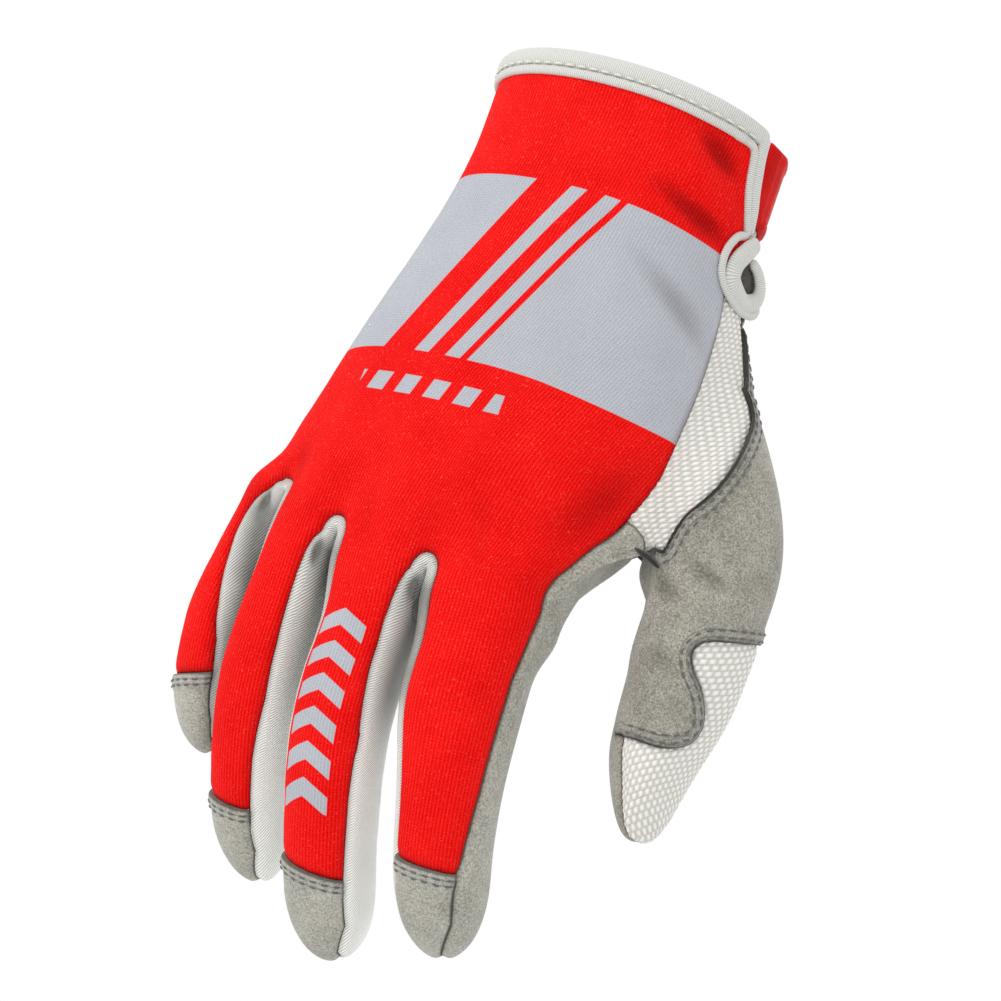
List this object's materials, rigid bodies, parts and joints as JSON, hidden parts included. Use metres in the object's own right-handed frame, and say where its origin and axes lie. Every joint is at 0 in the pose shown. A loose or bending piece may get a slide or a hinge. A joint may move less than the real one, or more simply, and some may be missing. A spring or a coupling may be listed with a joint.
{
  "type": "motocross glove",
  "caption": "Right-hand motocross glove in its worn form: hollow knit back, suede palm, satin finger walls, mesh thumb side, taped cuff and moulded wrist closure.",
  "frame": {"origin": "centre of the wrist opening, at the cuff's edge", "axes": "+Z out of the cuff, so that the fingers point to -Z; +X to the thumb side; -Y is the back of the hand and +Y the palm"},
  "size_m": [0.1208, 0.0615, 0.1822],
  "materials": {
    "red_knit": "bright red ribbed knit with a plain light-grey printed band",
    "grey_suede": "warm grey synthetic suede",
    "thumb_suede": "darker grey synthetic suede",
    "pale_mesh": "off-white coarse mesh",
    "pale_satin": "pale grey stretch satin",
    "ribbed_tape": "light grey ribbed binding tape",
    "red_rubber": "red moulded rubber"
  },
  "bodies": {
    "root": {"back_panel": "red_knit", "palm_panel": "grey_suede", "side_mesh": "pale_mesh", "thumb_shell": "thumb_suede", "thumb_tip_mesh": "pale_mesh", "thumb_pad": "grey_suede", "fourchette_little_ring": "pale_satin", "fourchette_ring_middle": "pale_satin", "fourchette_middle_index": "pale_satin", "tip_cap_little": "grey_suede", "tip_cap_ring": "grey_suede", "tip_cap_middle": "grey_suede", "tip_cap_index": "grey_suede", "cuff_binding": "ribbed_tape", "slit_binding": "ribbed_tape", "wrist_strap": "red_rubber"}
  },
  "joints": []
}
